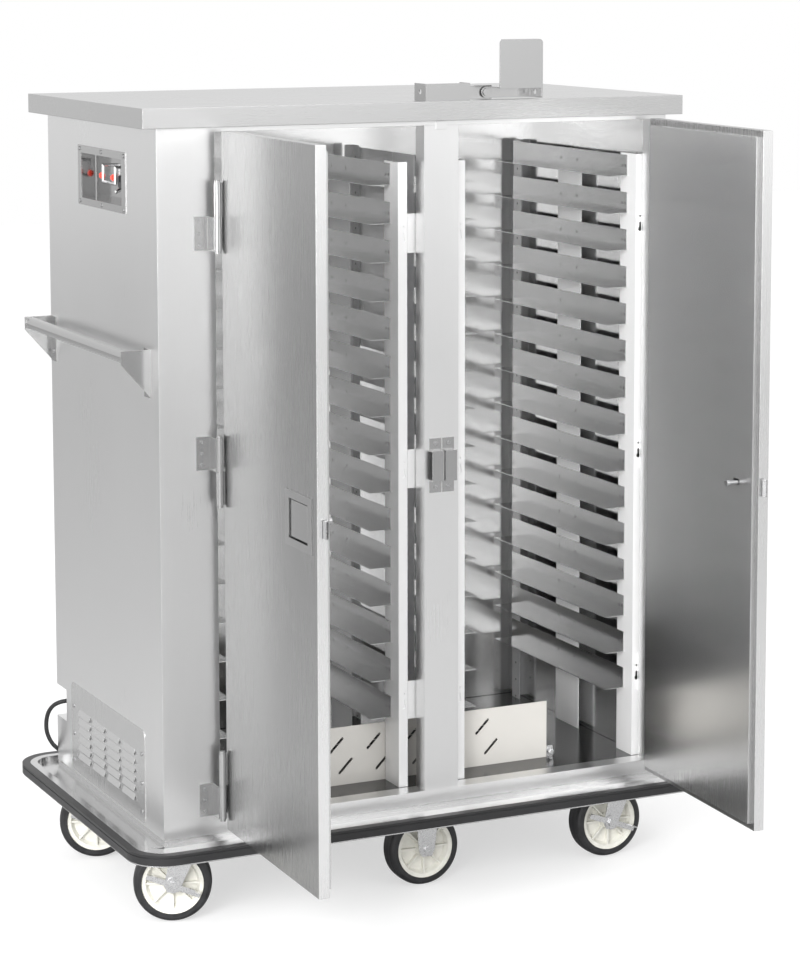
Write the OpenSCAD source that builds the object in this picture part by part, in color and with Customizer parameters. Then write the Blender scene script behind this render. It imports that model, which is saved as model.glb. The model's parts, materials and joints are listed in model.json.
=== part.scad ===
// Enclosed meal tray cart: a heated two-door cabinet on a bumper deck with six casters.
// Working frame: X = 0 at the cabinet's left side, Y = 0 at its front face, Z = 0 on the floor.
// The last step moves the model so that its origin is the centre of its base.

/* [Cabinet] */
// Outside width of the cabinet
cab_w = 1092; // [1000:4:1200]
// Outside depth of the cabinet
cab_d = 626; // [600:2:700]
// Height of the cabinet between the deck and the cap
cab_h = 1357; // [1340:1:1400]
// Sheet thickness of skins and frame
skin_t = 2; // [1.5:0.1:2.5]
// Width of the left stile
left_stile_w = 116; // [110:1:122]
// Width of the centre mullion
mullion_w = 74; // [70:1:80]
// Width of the right stile
right_stile_w = 30; // [26:1:36]
// Height of the sill below the door openings
sill_h = 26.5; // [24:0.5:34]
// Height of the header strip above the door openings
header_h = 9; // [6:1:16]
// Depth of the front frame's returns
frame_depth = 38; // [30:1:42]
// Space between the back panel and the liner's back
back_gap = 24; // [16:1:30]
// Step from the stile's edge in to the left liner wall
liner_step = 9; // [6:1:12]

/* [Cap] */
// Height of the cap's edge
cap_h = 38; // [30:1:50]
// Overhang of the cap at the sides and the rear
cap_side = 31; // [20:1:40]
// Overhang of the cap at the front
cap_front = 14; // [8:1:18]

/* [Deck] */
// Height of the plinth under the cabinet's lower edge
plinth_h = 9; // [6:1:12]
// Width of the ledge beside the cabinet, up to the lip
ledge_side = 50; // [40:1:60]
// Width of the ledge in front of the cabinet, up to the lip
ledge_front = 47; // [40:1:60]
// Width of the ledge behind the cabinet, up to the lip
ledge_rear = 21; // [20:1:40]
// Width of the lip at the sides and the rear
lip_w = 15; // [12:1:20]
// Width of the lip at the front
lip_front_w = 30; // [20:1:36]
// Height of the lip above the ledge
lip_h = 10; // [6:1:14]
// Outer corner radius of the deck
deck_r = 58; // [45:1:64]
// Thickness of the rubber bumper
bumper_t = 17; // [12:1:24]
// Height of the rubber bumper
bumper_h = 20; // [16:1:24]

/* [Doors] */
// How far the door's free edge laps over the mullion
free_lap = 7.6; // [6:0.2:9]
// Depth of the door's outer pan
pan_t = 20; // [18:1:24]
// Depth of the door's inner liner pan
door_liner_t = 8; // [6:1:10]
// How far the liner pan is set in from the door's edges
door_inset = 12; // [11:0.5:16]
// Gap between the door and the front frame
door_gap = 2; // [1:0.5:3]
// How far the door's hinge edge laps over the stile
door_lap = 8.4; // [6:0.2:9]
// Gap under the cap above the closed door
door_top_gap = 6; // [4:1:10]
// Height of the closed door's lower edge above the cabinet's lower edge
door_low = 16; // [12:1:18]
// Opening angle of the left door as stored
left_open = 91; // [0:1:180]
// Opening angle of the right door as stored
right_open = 87; // [0:1:180]

/* [Hinges] */
// Radius of the hinge barrels
barrel_r = 6.8; // [6:0.1:8]
// Radius of the hinge pins
hinge_pin_r = 4.2; // [3:0.1:4.6]
// Distance of the hinge axis in front of the frame
hinge_out = 31; // [31:1:36]
// Length of one hinge half
hinge_half = 64; // [50:1:70]

/* [Latches] */
// Height of the latch centre above the floor
latch_z = 858; // [700:2:1000]
// Height of the latch bolt
bolt_h = 32; // [24:1:36]
// How far the latch bolt stands out of the door's edge
bolt_throw = 14; // [8:1:18]
// Width of the latch bezel
bezel_w = 122; // [110:1:130]
// Height of the latch bezel
bezel_h = 100; // [90:1:120]
// Width of one strike
strike_w = 25; // [20:1:27]
// Height of one strike
strike_h = 108; // [100:1:130]

/* [Racks] */
// Height from one tray slide to the next
level_pitch = 76.2; // [72:0.2:80]
// Height of the lowest tray slide above the cabinet's floor
first_level = 135; // [126:0.5:145]
// Distance of each bay's outer rack in from the door opening's edge
rack_out = 12; // [10:1:20]
// Distance of each bay's inner rack in from the mullion
rack_in = 36; // [32:1:40]
// Height of a tray slide's web
slide_web = 43; // [30:1:50]
// Width of a tray slide's flange
slide_flange = 44; // [30:1:50]
// Distance of the racks behind the frame's face
rack_y = 43; // [42:1:50]
// Depth of a front upright
upright_d = 63; // [50:1:70]
// Width of the upright in the middle of a rack
upright_mid = 100; // [60:2:120]
// Distance of the slides behind the front of the racks
slide_back = 35; // [20:1:50]
// Height of the heater cover
heater_h = 118.5; // [100:0.5:126]
// Distance from one slot of the heater cover to the next
slot_pitch = 81.7; // [60:0.1:100]

/* [Casters] */
// Wheel diameter
wheel_d = 152.4; // [148:0.2:154]
// Height of a caster above the top of its wheel
crown_h = 35.6; // [34.6:0.2:42]
// Width of the wheel's tread
wheel_w = 44; // [36:1:50]
// Trail of the swivel casters
trail = 33; // [26:1:36]
// Distance of the swivel axes in from the cabinet's sides
caster_in = 70; // [68:1:90]
// Distance of the front caster row behind the cabinet's face
caster_front = 48; // [46:1:70]
// Distance of the rear caster row behind the cabinet's face
caster_rear = 487; // [440:1:540]

/* [Handle] */
// Outside diameter of the push handle tube
handle_d = 25.4; // [20:0.2:32]
// Height of the push handle above the floor
handle_z = 1103; // [900:1:1160]
// Distance of the handle's centreline from the side
handle_out = 45; // [40:1:60]

/* [Controls] */
// Width of the control window
window_w = 233; // [220:1:240]
// Height of the control window
window_h = 89; // [84:1:96]
// Depth of the control recess
recess_d = 30; // [28:1:50]
// Distance of the control window's centre below the cap
window_drop = 113.5; // [104:0.5:150]

/* [Hidden] */
$fn = 48;

// Heights
caster_h = wheel_d + crown_h;
deck_sheet = 3;
platform_t = 2.5;
ledge_drop = 20;
ledge_z = caster_h - ledge_drop;
cab_z = ledge_z + plinth_h;
cab_top = cab_z + cab_h;
floor_z = cab_z + sill_h;
open_top = cab_top - header_h;
roof_z = cab_top + cap_h;
lip_z = ledge_z + lip_h;

// Front frame
bay_w = (cab_w - left_stile_w - mullion_w - right_stile_w) / 2;
bay1_x = left_stile_w;
mullion_x = bay1_x + bay_w;
mid_x = mullion_x + mullion_w / 2;
bay2_x = mullion_x + mullion_w;
bay2_end = bay2_x + bay_w;
liner_x0 = bay1_x - liner_step;
liner_x1 = bay2_end + liner_step - 1;
liner_y1 = cab_d - back_gap;

// Deck outline
deck_x0 = -ledge_side - lip_w;
deck_x1 = cab_w + ledge_side + lip_w;
deck_y0 = -ledge_front - lip_front_w;
deck_y1 = cab_d + ledge_rear + lip_w;

// Doors, in their closed place
door_x0 = bay1_x - door_lap;
door_x1 = mullion_x + free_lap;
door_z0 = cab_z + door_low;
door_z1 = cab_top - door_top_gap;
pan_y0 = -door_gap - pan_t;
liner_y0 = -door_gap;
door_back = liner_y0 + door_liner_t;
door_skin = 1.6;
hinge_x = door_x0 + 1.2;
hinge_y = -hinge_out;
hinge_zs = [cab_top - 166, latch_z + 29, cab_z + 102];
pin_fit = 0.06;
left_leaf = 29.8;
right_leaf = cab_w - 2 * mid_x + hinge_x - 7;

// Latch
bolt_y0 = pan_y0 + 10;
bolt_t = 7.5;
bezel_x1 = door_x1 - 23;
bezel_x0 = bezel_x1 - bezel_w;
pocket_w = bezel_w - 34;
pocket_h = bezel_h - 28;
pocket_x0 = bezel_x0 + 17;
bolt_travel = 13;
release_x = door_x1 - 66;

// Racks
levels = 1 + floor((open_top - floor_z - first_level - slide_web - 40) / level_pitch);
top_level = floor_z + first_level + (levels - 1) * level_pitch;
rack_top = top_level + slide_web + 4;
rack_clear = bay_w - rack_out - rack_in;
bay_centers = [bay1_x + rack_out + rack_clear / 2, bay2_end - rack_out - rack_clear / 2];
upright_t = 2;
upright_f = rack_out + liner_step - 1.5;
slide_t = 1.5;
rack_y1 = liner_y1 - 28;
slide_y0 = rack_y + slide_back;
rack_mid_y = rack_y + 0.43 * (rack_y1 - rack_y);
bracket_h = 77;
bracket_zs = [for (f = [0, 0.5, 1]) floor_z + 138 + f * (rack_top - floor_z - 316)];

// Cord pocket in the rear left corner
pocket_y = cab_d - 61;
notch_z0 = ledge_z + 104;
notch_z1 = notch_z0 + 67;
notch_x = 60;

// Casters: place, heading of the trail in degrees, and whether it swivels
swivels = [
  ["front_left", caster_in, caster_front, 159],
  ["front_right", cab_w - caster_in, caster_front, 180],
  ["rear_left", caster_in, caster_rear, 159],
  ["rear_right", cab_w - caster_in, caster_rear, 171]
];
rigid_x = cab_w / 2 + 20;
wheel_r = wheel_d / 2;
axle_r = 6;
leg_in = wheel_w / 2 + 5;
leg_t = 3;

// Origin: the middle of the bounding box, on the floor
function swing_y(a, dx, dy) = hinge_y - dx * sin(a) + dy * cos(a);
door_reach = door_x1 - hinge_x;
tip_reach = door_reach + bolt_throw;
front_y = min([
  for (a = [left_open, right_open])
    each [
      for (y = [bolt_y0, bolt_y0 + bolt_t - 5.5]) swing_y(a, tip_reach, y - hinge_y),
      for (y = [pan_y0, liner_y0]) swing_y(a, door_reach, y - hinge_y),
      for (x = [-6.5, 6.5]) swing_y(a, release_x + x - hinge_x, door_back + 26 - hinge_y)
    ],
  deck_y0 - bumper_t
]);
origin_x = cab_w / 2;
origin_y = (front_y + deck_y1 + bumper_t) / 2;

// Power cord: the lead's and the tail's route points, chosen by hand
cord_d = 9;
cord_y1 = cab_d + 5.9;
cord_y2 = cord_y1 + 9.5;
cord_low = ledge_z + cord_d / 2 + 0.3;
coil_x = 230;
coil_in = 36;
coil_pitch = 9.5;
coil_turns = 3.75;
coil_out = coil_in + coil_pitch * coil_turns;
coil_z = cord_low + coil_out;
gland_z = notch_z0 + 34;
gland_y = cab_d - 26;
lead_points = [
  [20, gland_y, gland_z], [11, gland_y + 0.3, gland_z - 0.2], [2.4, gland_y + 3, gland_z - 1.6],
  [-5, gland_y + 8.4, gland_z - 5], [-11.3, gland_y + 15.8, gland_z - 11],
  [-16, gland_y + 23.2, gland_z - 19.5], [-19.5, cab_d + 3, gland_z - 30],
  [-21.5, cab_d + 7, gland_z - 43], [-22, cab_d + 9, gland_z - 57], [-20.5, cab_d + 10, gland_z - 71],
  [-16, cab_d + 10, gland_z - 85], [-9, cab_d + 9, gland_z - 98], [1, cab_d + 8, gland_z - 109],
  [13, cab_d + 7, gland_z - 118], [27, cab_d + 6.4, cord_low + 8.7], [43, cord_y1, cord_low + 4.2],
  [60, cord_y1, cord_low + 1.5], [78, cord_y1, cord_low + 0.3], [98, cord_y1, cord_low],
  [120, cord_y1, cord_low], [142, cord_y1, cord_low], [164, cord_y1, cord_low],
  [186, cord_y1, cord_low], [204, cord_y1, cord_low], [coil_x - cord_d, cord_y1, cord_low]
];
plug_r = 15;
plug_x = 356;
plug_y = cab_d + 0.3 + plug_r;
plug_z = lip_z + sqrt(pow(plug_r + 0.3, 2) - pow(cab_d + ledge_rear - plug_y, 2));
tail_points = [
  [coil_x + cord_d, cord_y2, cord_low], [coil_x + 20, cord_y2, cord_low],
  [coil_x + 34, cord_y2, cord_low + 2.6], [coil_x + 48, cord_y2, cord_low + 6],
  [coil_x + 62, cord_y2, cord_low + 10.4], [coil_x + 76, plug_y, plug_z - 4.6],
  [coil_x + 88, plug_y, plug_z - 1.2], [plug_x - 26, plug_y, plug_z]
];

// ---- shared shapes ----

module slab(x0, x1, y0, y1, z0, z1) {
  translate([x0, y0, z0]) cube([x1 - x0, y1 - y0, z1 - z0]);
}

// A slab with rounded vertical corners
module round_slab(x0, x1, y0, y1, z0, z1, r) {
  slab(x0 + r, x1 - r, y0, y1, z0, z1);
  slab(x0, x1, y0 + r, y1 - r, z0, z1);
  for (x = [x0 + r, x1 - r])
    for (y = [y0 + r, y1 - r])
      translate([x, y, z0]) cylinder(r = r, h = z1 - z0);
}

// A round bar along X, Y or Z
module bar_x(x0, x1, y, z, r) {
  translate([x0, y, z]) rotate([0, 90, 0]) cylinder(r = r, h = x1 - x0);
}
module bar_y(y0, y1, x, z, r) {
  translate([x, y0, z]) rotate([-90, 0, 0]) cylinder(r = r, h = y1 - y0);
}
module bar_z(z0, z1, x, y, r) {
  translate([x, y, z0]) cylinder(r = r, h = z1 - z0);
}

// A ring of the deck's outline, grown by out and by in
module deck_ring(out, in_side, in_front, z0, z1) {
  difference() {
    round_slab(deck_x0 - out, deck_x1 + out, deck_y0 - out, deck_y1 + out, z0, z1, deck_r + out);
    round_slab(deck_x0 + in_side, deck_x1 - in_side, deck_y0 + in_front, deck_y1 - in_side,
      z0 - 1, z1 + 1, max(deck_r - in_side, 4));
  }
}

// Rings of a swept tube: centre points and a reference direction give each ring
function unit(v) = v / norm(v);
function tangent(p, i) = unit(p[min(i + 1, len(p) - 1)] - p[max(i - 1, 0)]);
function ring(c, t, ref, r, n) =
  let (u = unit(cross(t, ref)), w = cross(u, t))
  [for (k = [0 : n - 1]) c + r * (cos(360 * k / n) * u + sin(360 * k / n) * w)];

module tube_along(p, ref, r, n) {
  m = len(p);
  points = [for (i = [0 : m - 1]) each ring(p[i], tangent(p, i), ref, r, n)];
  sides = [for (i = [0 : m - 2]) for (k = [0 : n - 1])
    each [
      [i * n + k, i * n + (k + 1) % n, (i + 1) * n + k],
      [i * n + (k + 1) % n, (i + 1) * n + (k + 1) % n, (i + 1) * n + k]
    ]];
  start = [for (k = [1 : n - 2]) [0, k + 1, k]];
  end = [for (k = [1 : n - 2]) [(m - 1) * n, (m - 1) * n + k, (m - 1) * n + k + 1]];
  polyhedron(points = points, faces = concat(sides, start, end));
}

// ---- deck ----

module deck_tray() {
  color([0.72, 0.72, 0.71]) {
    // Ledge round the cabinet, with the two front corners left open
    difference() {
      round_slab(deck_x0, deck_x1, deck_y0, deck_y1, ledge_z - deck_sheet, ledge_z, deck_r);
      slab(4, cab_w - 4, 4, cab_d - 4, ledge_z - deck_sheet - 1, ledge_z + 1);
      slab(-ledge_side + 1, -2, -ledge_front + 1, -2, ledge_z - deck_sheet - 1, ledge_z + 1);
      slab(cab_w + 2, cab_w + ledge_side - 1, -ledge_front + 1, -2,
        ledge_z - deck_sheet - 1, ledge_z + 1);
    }
    // Raised lip, a channel open below
    difference() {
      deck_ring(0, lip_w, lip_front_w, ledge_z - deck_sheet, lip_z);
      deck_ring(-2, lip_w - 2, lip_front_w - 2, ledge_z - deck_sheet - 1, lip_z - 2);
    }
    // Outer wall and the flange that carries the bumper
    deck_ring(0, 2.5, 2.5, lip_z - bumper_h - 3, lip_z - 1);
    deck_ring(bumper_t - 2, 2.5, 2.5, lip_z - bumper_h - 3, lip_z - bumper_h - 0.6);
    // Plinth and the raised platform under the cabinet
    difference() {
      slab(0.6, cab_w - 0.6, 0.6, cab_d - 0.6, ledge_z - deck_sheet, cab_z);
      slab(5, cab_w - 5, 5, cab_d - 5, ledge_z - deck_sheet - 1, cab_z + 1);
    }
    difference() {
      slab(skin_t, cab_w - skin_t, skin_t, cab_d - skin_t, cab_z, caster_h + platform_t);
      slab(5, cab_w - 5, 5, cab_d - 5, cab_z - 1, caster_h);
    }
  }
}

module bumper() {
  color([0.26, 0.26, 0.27])
    difference() {
      deck_ring(bumper_t, -0.1, -0.1, lip_z - bumper_h, lip_z);
      deck_ring(bumper_t + 1, -bumper_t + 1.5, -bumper_t + 1.5, lip_z - 6.5, lip_z - 4.5);
    }
}

// ---- cabinet skins ----

module side_panel_left() {
  color([0.76, 0.76, 0.75])
    difference() {
      slab(0, skin_t, 0, cab_d, cab_z, cab_top);
      slab(-1, skin_t + 1, pocket_y, cab_d + 1, notch_z0, notch_z1);
      slab(-1, skin_t + 1, window_y0 - 3, window_y0 + window_w + 3,
        window_z - window_h / 2 - 3, window_z + window_h / 2 + 3);
      slab(-1, skin_t + 1, louvre_y0 + 42, louvre_y1 - 42, ledge_z + 36, ledge_z + 158);
    }
}

module side_panel_right() {
  color([0.76, 0.76, 0.75]) slab(cab_w - skin_t, cab_w, 0, cab_d, cab_z, cab_top);
}

module back_panel() {
  color([0.74, 0.74, 0.73]) {
    difference() {
      slab(skin_t, cab_w - skin_t, cab_d - skin_t, cab_d, cab_z, cab_top);
      slab(0, notch_x, cab_d - 3, cab_d + 1, notch_z0, notch_z1);
    }
    // Pocket that the cord comes out of
    difference() {
      slab(skin_t, notch_x + 2, pocket_y - 2, cab_d - skin_t, notch_z0 - 2, notch_z1 + 2);
      slab(skin_t - 1, notch_x, pocket_y, cab_d, notch_z0, notch_z1);
    }
  }
}

module front_frame() {
  color([0.84, 0.84, 0.83]) {
    // Face of the left stile, right stile, sill and header
    difference() {
      slab(skin_t, cab_w - skin_t, 0, skin_t, cab_z, cab_top);
      slab(bay1_x, bay2_end, -1, skin_t + 1, floor_z, open_top);
    }
    // Returns into the opening
    difference() {
      slab(bay1_x - skin_t, bay2_end + skin_t, skin_t, frame_depth, floor_z - skin_t, open_top + skin_t);
      slab(bay1_x, bay2_end, skin_t - 1, frame_depth + 1, floor_z, open_top);
    }
    // Flanges to the liner's side walls
    slab(liner_x0 - skin_t, bay1_x, frame_depth - skin_t, frame_depth,
      floor_z - skin_t, open_top + skin_t);
    slab(bay2_end, liner_x1 + skin_t, frame_depth - skin_t, frame_depth,
      floor_z - skin_t, open_top + skin_t);
  }
}

module center_mullion() {
  color([0.87, 0.87, 0.86]) {
    difference() {
      slab(mullion_x, bay2_x, 0, frame_depth, floor_z, open_top);
      slab(mullion_x + skin_t, bay2_x - skin_t, skin_t, frame_depth - skin_t, floor_z - 1, open_top + 1);
    }
    // Tab lapped over the header
    slab(mid_x - 12, mid_x + 12, -1.2, 0, open_top - 8, cab_top - 1);
  }
}

module top_cap() {
  color([0.8, 0.8, 0.79]) {
    difference() {
      slab(-cap_side, cab_w + cap_side, -cap_front, cab_d + cap_side, cab_top, roof_z);
      slab(-cap_side + skin_t, cab_w + cap_side - skin_t, -cap_front + skin_t, cab_d + cap_side - skin_t,
        cab_top + skin_t, roof_z - skin_t);
      slab(skin_t, cab_w - skin_t, skin_t, cab_d - skin_t, cab_top - 1, cab_top + skin_t + 1);
    }
  }
}

module liner() {
  color([0.7, 0.7, 0.69])
    difference() {
      slab(liner_x0 - skin_t, liner_x1 + skin_t, frame_depth, liner_y1 + skin_t,
        floor_z - skin_t, open_top + skin_t);
      slab(liner_x0, liner_x1, frame_depth - 1, liner_y1, floor_z, open_top);
    }
}

// ---- controls ----

window_y0 = 185;
window_z = cab_top - window_drop;
louvre_y0 = 98;
louvre_y1 = cab_d - 96;
plate_x = recess_d;

module control_box() {
  color([0.45, 0.45, 0.46])
    difference() {
      slab(0, plate_x + 2, window_y0 - 2, window_y0 + window_w + 2,
        window_z - window_h / 2 - 2, window_z + window_h / 2 + 2);
      slab(-1, plate_x, window_y0, window_y0 + window_w, window_z - window_h / 2, window_z + window_h / 2);
      bar_x(plate_x - 1, plate_x + 3, knob_y, knob_z, 4.5);
      bar_x(plate_x - 1, plate_x + 3, switch_y, switch_z, 6);
    }
}

module control_bezel() {
  color([0.7, 0.7, 0.7]) {
    difference() {
      slab(-2, 0, window_y0 - 22, window_y0 + window_w + 18,
        window_z - window_h / 2 - 14, window_z + window_h / 2 + 15);
      slab(-3, 1, window_y0, window_y0 + window_w, window_z - window_h / 2, window_z + window_h / 2);
    }
    // Upright bar that divides the window
    slab(-2, 0, window_y0 + 142, window_y0 + 148, window_z - window_h / 2 - 1, window_z + window_h / 2 + 1);
  }
}

knob_y = window_y0 + 45;
knob_z = window_z - 2;
switch_y = window_y0 + 68;
switch_z = window_z - 14;

module thermostat_knob() {
  color([0.09, 0.09, 0.1]) {
    bar_x(plate_x - 19, plate_x - 3, knob_y, knob_z, 13);
    bar_x(plate_x - 3, plate_x - 0.6, knob_y, knob_z, 16);
    bar_x(plate_x - 1, plate_x + 8, knob_y, knob_z, 4);
    slab(plate_x - 21, plate_x - 18, knob_y - 1.5, knob_y + 1.5, knob_z, knob_z + 12);
  }
}

module power_switch() {
  color([0.85, 0.85, 0.86]) {
    translate([plate_x, switch_y, switch_z]) sphere(r = 5.6);
    translate([plate_x, switch_y, switch_z]) rotate([0, -115, 0]) cylinder(r1 = 2.6, r2 = 3.8, h = 20);
    translate([plate_x, switch_y, switch_z]) rotate([0, -115, 0]) translate([0, 0, 20]) sphere(r = 3.8);
  }
}

guard_y0 = window_y0 + 78;
guard_y1 = guard_y0 + 70;
guard_x = plate_x - 16;

module knob_guard() {
  color([0.88, 0.88, 0.89]) {
    for (y = [guard_y0, guard_y1]) {
      bar_z(window_z - 8, window_z + 24, guard_x, y, 3);
      bar_x(guard_x, plate_x, y, window_z + 24, 3);
      translate([guard_x, y, window_z + 24]) sphere(r = 3);
      translate([guard_x, y, window_z - 8]) sphere(r = 3);
    }
    bar_y(guard_y0, guard_y1, guard_x, window_z - 8, 3);
  }
}

module indicator_lights() {
  color([0.85, 0.16, 0.14])
    for (y = [guard_y0 + 55, window_y0 + 199]) {
      bar_x(plate_x - 5, plate_x, y, window_z, 4.5);
      bar_x(plate_x - 2, plate_x, y, window_z, 6.5);
    }
}

// ---- screws, handle and louvres ----

// A pan-head screw whose head faces along X or Y
module screw_x(x, y, z) {
  bar_x(x - 2, x, y, z, 4);
}
module screw_y(y, x, z) {
  bar_y(y - 2, y, x, z, 4);
}

module panel_screws() {
  color([0.6, 0.6, 0.6]) {
    for (z = [window_z - window_h / 2 - 7, window_z + window_h / 2 + 7.5])
      for (y = [window_y0 - 11, window_y0 + window_w / 2, window_y0 + window_w + 9])
        screw_x(-2, y, z);
    for (y = [louvre_y0 + 16, louvre_y1 - 16])
      for (z = [ledge_z + 36, ledge_z + 92, ledge_z + 150])
        screw_x(-1.5, y, z);
    for (s = [-1, 1])
      for (z = [-1, 1])
        screw_y(-2.5, mid_x + s * (strike_w / 2 + 1.5), latch_z + z * (strike_h / 2 - 11));
    for (y = [handle_y0 + 17, handle_y1 - 17])
      for (z = [handle_z - 59, handle_z - 8])
        screw_x(-2.5, y, z);
  }
}

handle_y0 = 41;
handle_y1 = cab_d - 6;

module handle_tube() {
  color([0.74, 0.74, 0.74])
    difference() {
      bar_y(handle_y0 + 2.5, handle_y1 - 2.5, -handle_out, handle_z, handle_d / 2);
      bar_y(handle_y0 + 1, handle_y1 - 1, -handle_out, handle_z, handle_d / 2 - 1.6);
    }
}

module handle_cheek(y) {
  translate([0, y + 2.5, 0])
    rotate([90, 0, 0])
      linear_extrude(height = 2.5)
        polygon([
          [0, handle_z - 79], [0, handle_z + handle_d / 2 + 1],
          [-handle_out - handle_d / 2 - 1, handle_z + handle_d / 2 + 1],
          [-handle_out - handle_d / 2 - 1, handle_z - handle_d / 2]
        ]);
}

module handle_brackets() {
  color([0.78, 0.78, 0.78]) {
    handle_cheek(handle_y0);
    slab(-2.5, 0, handle_y0, handle_y0 + 31, handle_z - 79, handle_z + handle_d / 2 + 1);
    handle_cheek(handle_y1 - 2.5);
    slab(-2.5, 0, handle_y1 - 31, handle_y1, handle_z - 79, handle_z + handle_d / 2 + 1);
  }
}

louvre_cols = 4;
louvre_rows = 6;
louvre_pitch = (louvre_y1 - louvre_y0 - 84) / louvre_cols;
louvre_l = louvre_pitch - 19;

module louvre_panel() {
  z0 = cab_z + 5;
  z1 = ledge_z + 199;
  color([0.73, 0.73, 0.72]) {
    difference() {
      translate([-1.5, 0, 0]) rotate([90, 0, 90]) linear_extrude(height = 1.5)
        union() {
          translate([louvre_y0 + 14, z0]) square([louvre_y1 - louvre_y0 - 28, z1 - z0]);
          translate([louvre_y0, z0 + 14]) square([louvre_y1 - louvre_y0, z1 - z0 - 28]);
          for (y = [louvre_y0 + 14, louvre_y1 - 14])
            for (z = [z0 + 14, z1 - 14])
              translate([y, z]) circle(r = 14);
        }
      for (c = [0 : louvre_cols - 1])
        for (k = [0 : louvre_rows - 1])
          slab(-2, 1, louvre_at(c) + 2, louvre_at(c) + louvre_l - 2, louvre_z(k) - 6, louvre_z(k));
    }
    for (c = [0 : louvre_cols - 1])
      for (k = [0 : louvre_rows - 1])
        translate([0, louvre_at(c) + louvre_l, 0]) rotate([90, 0, 0]) linear_extrude(height = louvre_l)
          polygon([
            [-1.4, louvre_z(k) + 7], [-6, louvre_z(k) - 5], [-5, louvre_z(k) - 6], [-1.4, louvre_z(k) + 4]
          ]);
  }
}
function louvre_at(c) = louvre_y0 + 52 + c * louvre_pitch;
function louvre_z(k) = ledge_z + 54 + k * 18;

// ---- hinges ----

// The door's half stands above the frame's half, except on the middle hinge
module frame_hinge(z, up, leaf) {
  z0 = up ? z + 0.2 : z - hinge_half;
  z1 = z0 + hinge_half - 0.2;
  bar_z(z0, z1, hinge_x, hinge_y, barrel_r);
  bar_z(z - hinge_half - 1, z + hinge_half + 1, hinge_x, hinge_y, hinge_pin_r);
  // Ball tips at both ends of the pin
  for (s = [-1, 1])
    bar_z(z + s * (hinge_half + 2.4) - 2, z + s * (hinge_half + 2.4) + 2, hinge_x, hinge_y, barrel_r - 1);
  slab(hinge_x - 8.8, hinge_x - 5.4, hinge_y, 0, z0, z1);
  slab(hinge_x - 6 - leaf, hinge_x - 6, -2.5, 0, z0, z1);
}

module door_hinge(z, up) {
  z0 = up ? z - hinge_half : z + 0.2;
  z1 = z0 + hinge_half - 0.2;
  difference() {
    union() {
      bar_z(z0, z1, hinge_x, hinge_y, barrel_r);
      slab(door_x0 - 2.5, door_x0, hinge_y, liner_y0 - 1, z0, z1);
    }
    bar_z(z0 - 1, z1 + 1, hinge_x, hinge_y, hinge_pin_r + pin_fit);
  }
}

// Everything on the right side mirrors the left about the mullion
module mirrored() {
  translate([2 * mid_x, 0, 0]) mirror([1, 0, 0]) children();
}

module frame_hinges() {
  color([0.72, 0.72, 0.72]) {
    for (k = [0 : 2]) frame_hinge(hinge_zs[k], k == 1, left_leaf);
    mirrored() for (k = [0 : 2]) frame_hinge(hinge_zs[k], k == 1, right_leaf);
  }
}

module rivet_column(z, up, leaf) {
  zc = up ? z + hinge_half / 2 : z - hinge_half / 2;
  for (dz = [-22, 0, 22])
    bar_y(-4, -2.5, hinge_x - 6 - 0.64 * leaf, zc + dz, 3.4);
}

module hinge_rivets() {
  color([0.8, 0.8, 0.8]) {
    for (k = [0 : 2]) rivet_column(hinge_zs[k], k == 1, left_leaf);
    mirrored() for (k = [0 : 2]) rivet_column(hinge_zs[k], k == 1, right_leaf);
  }
}

// ---- doors, built closed and then swung open ----

module left_swing() {
  translate([hinge_x, hinge_y, 0]) rotate([0, 0, -left_open]) translate([-hinge_x, -hinge_y, 0]) children();
}
module right_swing() {
  mirrored()
    translate([hinge_x, hinge_y, 0])
      rotate([0, 0, -right_open])
        translate([-hinge_x, -hinge_y, 0]) children();
}

module door_pan() {
  difference() {
    slab(door_x0, door_x1, pan_y0, liner_y0, door_z0, door_z1);
    slab(door_x0 + door_skin, door_x1 - door_skin, pan_y0 + door_skin, liner_y0 - door_skin,
      door_z0 + door_skin, door_z1 - door_skin);
    // Open back inside the flange that the liner sits on
    slab(door_x0 + 28, door_x1 - 28, liner_y0 - 3, liner_y0 + 1, door_z0 + 28, door_z1 - 28);
    // Openings for the latch pocket and the bolt
    slab(pocket_x0 - 2, pocket_x0 + pocket_w + 2, pan_y0 - 1, pan_y0 + 3,
      latch_z - pocket_h / 2 - 2, latch_z + pocket_h / 2 + 2);
    slab(door_x1 - 4, door_x1 + 1, bolt_y0 - 0.5, bolt_y0 + bolt_t + 0.5,
      latch_z - bolt_h / 2 - 0.5, latch_z + bolt_h / 2 + 0.5);
  }
}

module door_liner() {
  difference() {
    slab(door_x0 + door_inset, door_x1 - door_inset, liner_y0, door_back,
      door_z0 + door_inset, door_z1 - door_inset);
    slab(door_x0 + door_inset + door_skin, door_x1 - door_inset - door_skin,
      liner_y0 - 1, door_back - door_skin,
      door_z0 + door_inset + door_skin, door_z1 - door_inset - door_skin);
    // Slot for the inside release pin
    slab(release_x - bolt_travel - 6, release_x + 6, door_back - 3, door_back + 1,
      latch_z - 6, latch_z + 6);
  }
}

module latch_case() {
  difference() {
    union() {
      slab(bezel_x0, bezel_x1, pan_y0 - 2, pan_y0, latch_z - bezel_h / 2, latch_z + bezel_h / 2);
      slab(pocket_x0 - 1.5, pocket_x0 + pocket_w + 1.5, pan_y0, bolt_y0 - 0.5,
        latch_z - pocket_h / 2 - 1.5, latch_z + pocket_h / 2 + 1.5);
    }
    slab(pocket_x0, pocket_x0 + pocket_w, pan_y0 - 3, bolt_y0 - 1.8,
      latch_z - pocket_h / 2, latch_z + pocket_h / 2);
    // Holes that hold the paddle's pin
    bar_z(latch_z - pocket_h / 2 - 1.2, latch_z + pocket_h / 2 + 1.2, paddle_x, paddle_y, 1.56);
  }
}

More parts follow.
